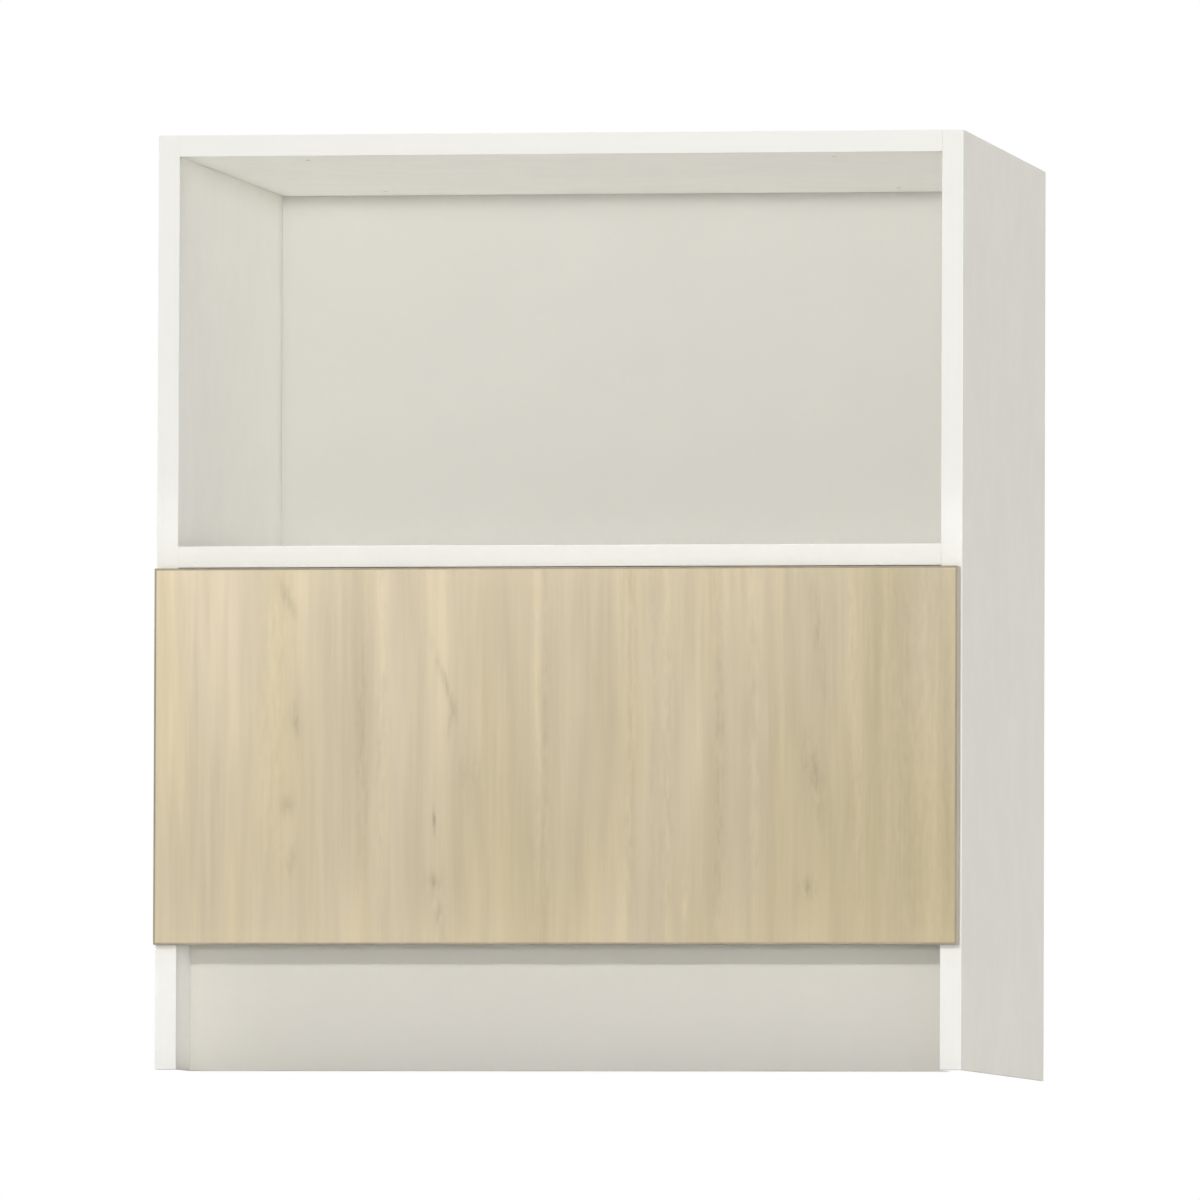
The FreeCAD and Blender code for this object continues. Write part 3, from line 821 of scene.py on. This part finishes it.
def fittings(name: str, form: Turned, spots: list[Spot], finish: Finish) -> Piece:
    """Build one piece from copies of a turned fitting: each point goes to spot plus its facing's directions.

    Args:
        name: Name of the piece.
        form: The fitting.
        spots: Where the copies stand.
        finish: Finish of the piece.

    Returns:
        The piece, with its place in its mesh.
    """
    sharp = 35.0
    points, *blocks = closed_skin(form.rings())
    frames = np.array([spot.facing.value for spot in spots], float)
    places = np.array([spot.at for spot in spots], float)
    copies = np.einsum("pk,skd->spd", points, frames) + places[:, None]
    shifts = len(points) * np.arange(len(spots))[:, None, None]
    faces = tuple((shifts + block).reshape(-1, block.shape[1]) for block in blocks)
    piece = add_mesh(name, copies.reshape(-1, 3), faces, finish.material())
    piece.data.polygons.foreach_set("use_smooth", np.ones(len(piece.data.polygons), bool))
    piece.data.set_sharp_from_angle(angle=radians(sharp))
    return piece


def install(piece: Piece, body: str, node: str) -> None:
    """Put a piece on its body in place of its solid, and report it.

    Args:
        piece: The piece.
        body: Body that carries it.
        node: Solid that it stands for.
    """
    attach(piece, body)
    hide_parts(node)
    log.info("%s: %d faces on %s", piece.name, len(piece.data.polygons), body)


def dress(finish: Finish, *nodes: str) -> None:
    """Give solids a finish, and report them.

    Args:
        finish: Finish to give.
        nodes: Names of the solids.
    """
    for node in nodes:
        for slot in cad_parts[node].material_slots:
            slot.material = finish.material()
        log.info("%s: %s", node, finish.name)


@dataclass
class Carcass:
    """Fixed boards of the cabinet, their edge bands, and the fittings that show on them."""

    cam_radius: float = 0.00745
    cam_height: float = 0.0126
    cam_edge: float = 0.0004
    cam_sunk: float = 0.0003
    cam_cross: CrossRecess = CrossRecess(reach=0.0042, half_width=0.0009, depth=0.0022)
    screw: Screw = DOMED_SCREW

    def dress(self) -> None:
        """Give the boards, bands and hidden fittings their finishes."""
        across = Board("greige_board_across", GREIGE, Axis.Y)
        dress(Board("greige_board_upright", GREIGE, Axis.X), "left_side_panel", "right_side_panel")
        dress(Board("greige_board_level", GREIGE, Axis.Z), "top_panel", "niche_shelf", "bottom_deck")
        dress(across, "upper_back_rail", "lower_back_rail", "toe_kick_board")
        dress(BackBoard("hardboard_back", (210, 209, 203), (150, 117, 82)), "back_panel")
        upright = EdgeBand("white_band_upright", WHITE, (900.0, 900.0, 5.0))
        level = EdgeBand("white_band_level", WHITE, (5.0, 900.0, 900.0))
        dress(upright, "left_side_edge_band", "right_side_edge_band")
        dress(level, "top_edge_band", "shelf_edge_band", "deck_edge_band")
        dress(BEECH, "carcass_dowels")
        dress(SCREW_ZINC, "cam_bolts")

    def build(self) -> None:
        """Build the cam locks and the back panel's screws."""
        install(self.cam_locks(), "carcass", "cam_locks")
        install(self.back_screws(), "carcass", "back_panel_screws")

    def cam_locks(self) -> Piece:
        """Cam locks: a chamfered drum with a cross in its face, four to each level board.

        Returns:
            The piece.
        """
        radius = self.cam_radius
        outline = (
            (radius - self.cam_edge, 0.0),
            (radius, -self.cam_edge),
            (radius, -self.cam_height),
            (0.0, -self.cam_height),
        )
        form = Turned(outline, recess=self.cam_cross, face_rings=44, step=0.002, around=80)
        low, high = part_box("cam_locks")
        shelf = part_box("niche_shelf")[0].z + self.cam_sunk
        levels = ((high.z, Facing.UP), (shelf, Facing.DOWN), (low.z, Facing.DOWN))
        across, deep = row(low.x, high.x, radius), row(low.y, high.y, radius)
        spots = [Spot((x, y, z), facing) for z, facing in levels for x in across for y in deep]
        cast = Steel("cast_zinc", (176, 178, 178), smooth=0.38, dull=0.55, lines=500.0)
        return fittings("cam_lock_drums", form, spots, cast)

    def back_screws(self) -> Piece:
        """Screws through the back panel into the shelf.

        Returns:
            The piece.
        """
        low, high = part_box("back_panel_screws")
        seat, level = high.y - self.screw.height, (low.z + high.z) / 2
        across = row(low.x, high.x, self.screw.radius, 3)
        spots = [Spot((x, seat, level), Facing.REAR) for x in across]
        return fittings("back_screws", self.screw.form(seat - low.y), spots, SCREW_ZINC)


@dataclass
class DrawerFront:
    """Drawer front with its wood print, its edge bands and the bumpers behind it."""

    bumper_radius: float = 0.005
    bumper_height: float = 0.0018
    bumper_rim: float = 0.00081
    bumper_shoulder: float = 0.001296
    bumper_face: float = 0.0046
    # Print colours from painted light at the upper left to painted shade at the lower right
    tones: tuple[Colour, Colour, Colour] = ((225, 210, 181), (204, 190, 160), (193, 179, 146))
    streaks: tuple[Streak, ...] = (
        Streak(-0.253, 0.44, 0.0055, 0.022, -0.155, 24.0),
        Streak(-0.245, 0.328, 0.006, 0.014, -0.133, 8.0),
        Streak(-0.252, 0.247, 0.007, 0.012, -0.133),
        Streak(-0.249, 0.194, 0.005, 0.016, -0.133, -12.0),
        Streak(-0.104, 0.363, 0.0035, 0.03, -0.177, 20.0),
        Streak(-0.098, 0.322, 0.005, 0.018, -0.085, -10.0),
        Streak(-0.112, 0.233, 0.0016, 0.011, -0.287),
        Streak(-0.112, 0.171, 0.007, 0.01, -0.199),
        Streak(-0.108, 0.138, 0.005, 0.024, -0.133, 4.0),
        Streak(-0.08, 0.274, 0.015, 0.024, -0.068),
        Streak(-0.181, 0.3, 0.006, 0.095, -0.085),
        Streak(-0.009, 0.29, 0.004, 0.26, -0.085),
        Streak(0.072, 0.3, 0.005, 0.24, -0.085),
        Streak(0.093, 0.33, 0.0035, 0.18, -0.068),
        Streak(0.155, 0.27, 0.006, 0.22, -0.085),
        Streak(0.249, 0.405, 0.0045, 0.058, -0.085, 6.0),
        Streak(0.245, 0.266, 0.008, 0.038, -0.155, 12.0),
        Streak(0.24, 0.171, 0.008, 0.009, -0.177),
        Streak(0.345, 0.29, 0.045, 0.4, -0.051, 2.0),
        Streak(0.124, 0.161, 0.003, 0.021, 0.119),
        Streak(-0.264, 0.36, 0.018, 0.2, 0.051),
        Streak(-0.163, 0.32, 0.006, 0.2, 0.068),
        Streak(-0.016, 0.32, 0.004, 0.22, 0.068),
        Streak(0.107, 0.3, 0.006, 0.22, 0.085),
        Streak(0.188, 0.32, 0.007, 0.22, 0.068),
        Streak(0.284, 0.3, 0.008, 0.24, 0.068, 2.0),
    )

    def dress(self) -> None:
        """Give the front and its bands their finishes."""
        low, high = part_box("drawer_front")
        wood = WoodLaminate("pale_wood_print", self.tones, WHITE, tuple(low), tuple(high), self.streaks)
        dress(wood, "drawer_front")
        band = EdgeBand("wood_band", (160, 149, 128), (90.0, 900.0, 22.0), figure=0.42)
        dress(band, "drawer_front_edge_bands")

    def build(self) -> None:
        """Build the domed bumpers at the corners of the front's rear face."""
        low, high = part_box("drawer_bumpers")
        radius, shoulder = self.bumper_radius, self.bumper_shoulder
        outline = ((self.bumper_face, shoulder), (radius, self.bumper_rim), (radius, 0.0), (0.0, 0.0))
        form = Turned(outline, self.bumper_height - shoulder, face_rings=16)
        across, levels = row(low.x, high.x, radius), row(low.z, high.z, radius)
        spots = [Spot((x, low.y, z), Facing.REAR) for x in across for z in levels]
        pad = Moulded("clear_bumper_pad", (222, 222, 216), rough=0.3, grain=0.000004, clear=0.5)
        install(fittings("bumper_pads", form, spots, pad), "drawer", "drawer_bumpers")


@dataclass
class DrawerBox:
    """White box behind the drawer front, with the screws that hold the front to it."""

    screw: Screw = DOMED_SCREW

    def dress(self) -> None:
        """Give the box's boards and dowels their finishes."""
        dress(Board("white_board_upright", WHITE, Axis.X, True), "drawer_left_side", "drawer_right_side")
        dress(Board("white_board_across", WHITE, Axis.Y, True), "drawer_inner_front", "drawer_back")
        dress(Board("white_board_level", WHITE, Axis.Z), "drawer_bottom")
        dress(BEECH, "drawer_box_dowels")

    def build(self) -> None:
        """Build the four screws on the inner front."""
        low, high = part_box("drawer_front_screws")
        seat, inset = high.y - self.screw.height, self.screw.radius
        across, levels = row(low.x, high.x, inset), row(low.z, high.z, inset)
        spots = [Spot((x, seat, z), Facing.REAR) for x in across for z in levels]
        piece = fittings("front_screws", self.screw.form(seat - low.y), spots, SCREW_ZINC)
        install(piece, "drawer", "drawer_front_screws")


@dataclass
class Slides:
    """Pair of ball-bearing slides with their screws, stops and release levers."""

    sheet: float = 0.0012
    screw_length: float = 0.014
    drawer_screw: Screw = DOMED_SCREW
    cabinet_screw: Screw = SUNK_SCREW

    def dress(self) -> None:
        """Give the members, cages, balls, stops and levers their finishes."""
        cage = Steel("blued_cage_steel", (168, 166, 158), smooth=0.3, dull=0.48)
        ball = Steel("polished_ball_steel", (226, 227, 229), smooth=0.07, dull=0.14, lines=900.0)
        rubber = Moulded("grey_stop_rubber", (62, 61, 60), rough=0.72, grain=0.00002)
        lever = Moulded("black_lever_plastic", (34, 34, 36), rough=0.42, grain=0.00001)
        for side in ("left", "right"):
            dress(ZINC, *(f"{side}_slide_{member}_member" for member in ("cabinet", "middle", "drawer")))
            dress(cage, f"{side}_outer_ball_cage", f"{side}_inner_ball_cage")
            dress(ball, f"{side}_outer_balls", f"{side}_inner_balls")
            dress(lever, f"{side}_release_lever")
        dress(rubber, "slide_rear_stops")
        dress(SCREW_ZINC, "release_lever_pins")

    def build(self) -> None:
        """Build the screws of the drawer members and of the cabinet members."""
        low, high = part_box("drawer_member_screws")
        level, deep = (low.z + high.z) / 2, row(low.y, high.y, self.drawer_screw.radius, 3)
        seats = zip(row(low.x, high.x, self.drawer_screw.height), (Facing.LEFT, Facing.RIGHT))
        spots = [Spot((x, y, level), facing) for x, facing in seats for y in deep]
        form = self.drawer_screw.form(self.screw_length)
        piece = fittings("drawer_side_screws", form, spots, SCREW_ZINC)
        install(piece, "drawer", "drawer_member_screws")
        left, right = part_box("left_slide_cabinet_member")[0].x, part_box("right_slide_cabinet_member")[1].x
        seats = zip(row(left, right, self.sheet), (Facing.RIGHT, Facing.LEFT))
        spots = [Spot((x, y, level), facing) for x, facing in seats for y in deep]
        form = self.cabinet_screw.form(self.screw_length)
        piece = fittings("cabinet_side_screws", form, spots, SCREW_ZINC)
        install(piece, "carcass", "cabinet_member_screws")


def turn_towards(at: Place, point: Place) -> Quaternion:
    """Turn of a lamp or a camera that looks from a place to a point."""
    return (Vector(point) - Vector(at)).to_track_quat("-Z", "Y")


def put_in_scene(data: bpy.types.ID, at: Place, turn: Quaternion) -> Piece:
    """Put a lamp or a camera in the scene.

    Args:
        data: The lamp or the camera.
        at: Its place.
        turn: Its turn.

    Returns:
        Its object.
    """
    made = bpy.data.objects.new(data.name, data)
    made.location = at
    made.rotation_mode = "QUATERNION"
    made.rotation_quaternion = turn
    bpy.context.scene.collection.objects.link(made)
    return made


def hang(lamp: bpy.types.Light, turn: Quaternion, at: Place = (0.0, 0.0, 2.0)) -> None:
    """Hang a lamp in the scene, hidden from the camera and from mirrors."""
    made = put_in_scene(lamp, at, turn)
    made.visible_camera = made.visible_glossy = False


@dataclass(frozen=True)
class Sun:
    """Far lamp.

    The azimuth runs from the front towards the right and the height up from the floor, both in degrees. A
    level of 1 shows a colour as it is written on a face square to the lamp, and spread is its softness.
    """

    name: str
    azimuth: float
    height: float
    level: float
    spread: float

    def shine(self) -> None:
        """Add the lamp."""
        lamp = bpy.data.lights.new(self.name, "SUN")
        lamp.energy = self.level * pi
        lamp.angle = radians(self.spread)
        side, rise = radians(self.azimuth), radians(self.height)
        source = Vector((np.sin(side) * np.cos(rise), -np.cos(side) * np.cos(rise), np.sin(rise)))
        hang(lamp, source.to_track_quat("Z", "Y"))


@dataclass(frozen=True)
class Panel:
    """Flat lamp.

    It stands at a place and looks at a point; its power is in watts and the fan of its light in degrees.
    """

    name: str
    at: Place
    towards: Place
    width: float
    height: float
    power: float
    fan: float = 180.0
    tint: Colour = (255, 255, 255)

    def shine(self) -> None:
        """Add the lamp."""
        lamp = bpy.data.lights.new(self.name, "AREA")
        lamp.shape = "RECTANGLE"
        lamp.size, lamp.size_y = self.width, self.height
        lamp.energy = self.power
        lamp.spread = radians(self.fan)
        lamp.color = tone(self.tint)[:3]
        hang(lamp, turn_towards(self.at, self.towards), self.at)


@dataclass(frozen=True)
class WallLight:
    """Light on one wall of a hollow: a level of 1 shows a colour as it is written; fan is in degrees."""

    wall: Wall
    level: float
    fan: float = 6.0


@dataclass(frozen=True)
class Hollow:
    """Space that is open to the front, lit by lamps that lie flat across from its walls."""

    name: str
    low: Place
    high: Place
    lights: tuple[WallLight, ...]
    gap: float = 0.0015
    tint: Colour = (244, 247, 255)

    def lamps(self) -> list[Panel]:
        """Give each lit wall a lamp as large as itself, flat on the wall across from it.

        Returns:
            The lamps.
        """
        low, high = np.array(self.low), np.array(self.high)
        middle, half = (low + high) / 2, (high - low) / 2
        made = []
        for light in self.lights:
            axis, side = light.wall.value
            step = side * np.eye(3)[axis]
            at, towards = middle - step * (half - self.gap), middle + step * half
            width, height = np.delete(high - low, axis).tolist()
            name, power = f"{self.name}_{light.wall.name.lower()}_lamp", light.level * pi * width * height
            made.append(Panel(name, tuple(at), tuple(towards), width, height, power, light.fan, self.tint))
        return made


@dataclass
class Studio:
    """Pale floor, white surroundings, soft lamps and the camera."""

    eye: Place = (2.65, -16.94, -0.305)
    aim: Place = (-0.0048, 0.0, 0.4511)
    lens: float = 542.0
    sensor: float = 36.0
    roll: float = 0.2
    sight: float = 400.0
    ambient: float = 0.16
    floor_radius: float = 120.0
    floor_rings: int = 23
    floor_around: int = 96
    floor_drop: float = 0.0006
    floor_rough: float = 0.9
    floor_bounce: float = 0.65
    floor_fade: Span = (0.9, 3.2)
    floor_colour: Colour = (238, 238, 237)
    underlay_drop: float = 0.0003
    niche_lights: tuple[WallLight, ...] = (
        WallLight(Wall.CEILING, 0.48),
        WallLight(Wall.FLOOR, 0.25),
        WallLight(Wall.LEFT, 0.47),
        WallLight(Wall.RIGHT, 0.22),
    )
    toe_lights: tuple[WallLight, ...] = (WallLight(Wall.LEFT, 0.62, 4.0),)

    def build(self) -> None:
        """Set the stage, the light and the camera."""
        bpy.context.scene.view_settings.view_transform = "Standard"
        self.surround()
        self.lay_floor()
        self.lay_underlay()
        self.light()
        self.set_camera()

    def hollows(self) -> tuple[Hollow, Hollow]:
        """Measure the niche and the toe space between the boards that bound them.

        Returns:
            The two hollows with the light on their walls.
        """
        left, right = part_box("left_side_panel")[1].x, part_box("right_side_panel")[0].x
        front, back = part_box("niche_shelf")[0].y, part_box("back_panel")[0].y
        floor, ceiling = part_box("niche_shelf")[1].z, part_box("top_panel")[0].z
        toe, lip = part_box("toe_kick_board")[0].y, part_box("drawer_front_edge_bands")[0].z
        niche = Hollow("niche", (left, front, floor), (right, back, ceiling), self.niche_lights)
        return niche, Hollow("toe", (left, front, 0.0), (right, toe, lip), self.toe_lights)

    def light(self) -> None:
        """Light the front from near the camera, the hollows from their own walls, and other sides softly."""
        lamps = (
            Sun("front_sun", azimuth=2.5, height=1.0, level=0.225, spread=3.0),
            Sun("right_sun", azimuth=95.0, height=14.0, level=0.475, spread=20.0),
            Sun("left_sun", azimuth=-95.0, height=16.0, level=0.38, spread=20.0),
            Sun("rear_sun", azimuth=175.0, height=24.0, level=0.40, spread=20.0),
            Sun("top_sun", azimuth=20.0, height=82.0, level=0.35, spread=15.0),
            Panel("front_panel", (0.38, -4.8, 0.89), (0.0, -0.3, 0.40), 0.5, 0.12, 73.0),
            Panel("low_panel", (-0.1, -1.6, 0.06), (-0.1, -0.3, 0.06), 1.0, 0.10, 0.083, 12.0),
            Panel("shelf_panel", (0.0, -2.2, 0.50), (0.0, -0.3, 0.50), 0.8, 0.02, 0.018, 3.0),
            *(lamp for hollow in self.hollows() for lamp in hollow.lamps()),
        )
        for lamp in lamps:
            lamp.shine()
            log.info("%s: lamp", lamp.name)

    def surround(self) -> None:
        """White to the camera and in reflections, a softer level as light."""
        world = bpy.data.worlds.new("white_surround")
        world.use_nodes = True
        nodes = Nodes(world.node_tree)
        path = nodes.node("ShaderNodeLightPath")
        seen = path.outputs["Is Camera Ray"]
        for ray in ("Is Glossy Ray", "Is Transmission Ray"):
            seen = nodes.math("MAXIMUM", seen, path.outputs[ray])
        levels = (self.ambient, 1.0)
        backs = [nodes.node("ShaderNodeBackground", {0: PURE_WHITE, 1: level}).outputs[0] for level in levels]
        nodes.node("ShaderNodeOutputWorld", {"Surface": nodes.merge(seen, *backs)})
        bpy.context.scene.world = world

    def lay_floor(self) -> None:
        """Floor as a disc of rings: matt near the cabinet, fading to white, open to a view from below."""
        sketch = Sketch("pale_floor")
        path = sketch.node("ShaderNodeLightPath")
        seen = sketch.math("MAXIMUM", path.outputs["Is Camera Ray"], path.outputs["Is Glossy Ray"])
        colour = sketch.mix(seen, tone(self.floor_colour, self.floor_bounce), tone(self.floor_colour))
        sketch.dress(Base_Color=colour, Roughness=self.floor_rough)
        distance = sketch.vector("LENGTH", {0: sketch.place}, "Value")
        fade = sketch.math("MULTIPLY", sketch.span(distance, self.floor_fade), seen)
        matt = sketch.merge(fade, sketch.shader.outputs[0], self.white(sketch))
        clear = sketch.node("ShaderNodeBsdfTransparent").outputs[0]
        both = sketch.merge(self.seen_below(sketch), matt, clear)
        sketch.feed(sketch.output.inputs["Surface"], both)
        reach = np.linspace(0, self.floor_radius, self.floor_rings + 1)[1:, None]
        angle = np.linspace(0, 2 * pi, self.floor_around, endpoint=False)
        level = np.full((self.floor_rings, self.floor_around), -self.floor_drop)
        rings = np.stack((reach * np.cos(angle), reach * np.sin(angle), level), -1).reshape(-1, 3)
        points = np.concatenate(([(0.0, 0.0, -self.floor_drop)], rings))
        faces = ring_faces(self.floor_rings, self.floor_around)
        add_mesh("floor", points, faces, sketch.material)

    def lay_underlay(self) -> None:
        """White sheets under the cabinet's footprint, so that a view from below sees no undersides."""
        sketch = Sketch("white_underlay")
        sketch.dress(Base_Color=tone(self.floor_colour), Roughness=self.floor_rough)
        seen = sketch.merge(self.seen_below(sketch), sketch.shader.outputs[0], self.white(sketch))
        sketch.feed(sketch.output.inputs["Surface"], seen)
        left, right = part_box("left_side_panel"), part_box("right_side_panel")
        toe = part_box("toe_kick_board")[0].y
        spans = (
            (left[0].x, right[1].x, toe, right[1].y),
            (left[0].x, left[1].x, left[0].y, toe),
            (right[0].x, right[1].x, right[0].y, toe),
        )
        sheets = np.array([[(a, c), (b, c), (b, d), (a, d)] for a, b, c, d in spans]).reshape(-1, 2)
        points = np.column_stack((sheets, np.full(len(sheets), -self.underlay_drop)))
        faces = (np.arange(len(points)).reshape(-1, 4),)
        add_mesh("underlay", points, faces, sketch.material)

    def white(self, sketch: Sketch) -> Socket:
        """Plain white that needs no light."""
        return sketch.node("ShaderNodeEmission", {0: PURE_WHITE}).outputs[0]

    def seen_below(self, sketch: Sketch) -> Socket:
        """Mask of what the camera sees from below."""
        camera = sketch.node("ShaderNodeLightPath").outputs["Is Camera Ray"]
        return sketch.math("MULTIPLY", camera, sketch.node("ShaderNodeNewGeometry").outputs["Backfacing"])

    def set_camera(self) -> None:
        """Look from a little right of the front and below floor level, through a long lens."""
        lens = bpy.data.cameras.new("camera")
        lens.lens = self.lens
        lens.sensor_width = self.sensor
        lens.clip_end = self.sight
        roll = Quaternion((0.0, 0.0, 1.0), radians(self.roll))
        bpy.context.scene.camera = put_in_scene(lens, self.eye, turn_towards(self.eye, self.aim) @ roll)


def main() -> None:
    """Dress and build each sub-assembly, then set the stage."""
    logging.basicConfig(level=logging.INFO, format="%(message)s")
    for assembly in (Carcass(), DrawerFront(), DrawerBox(), Slides()):
        assembly.dress()
        assembly.build()
    Studio().build()


if __name__ == "__main__":
    main()
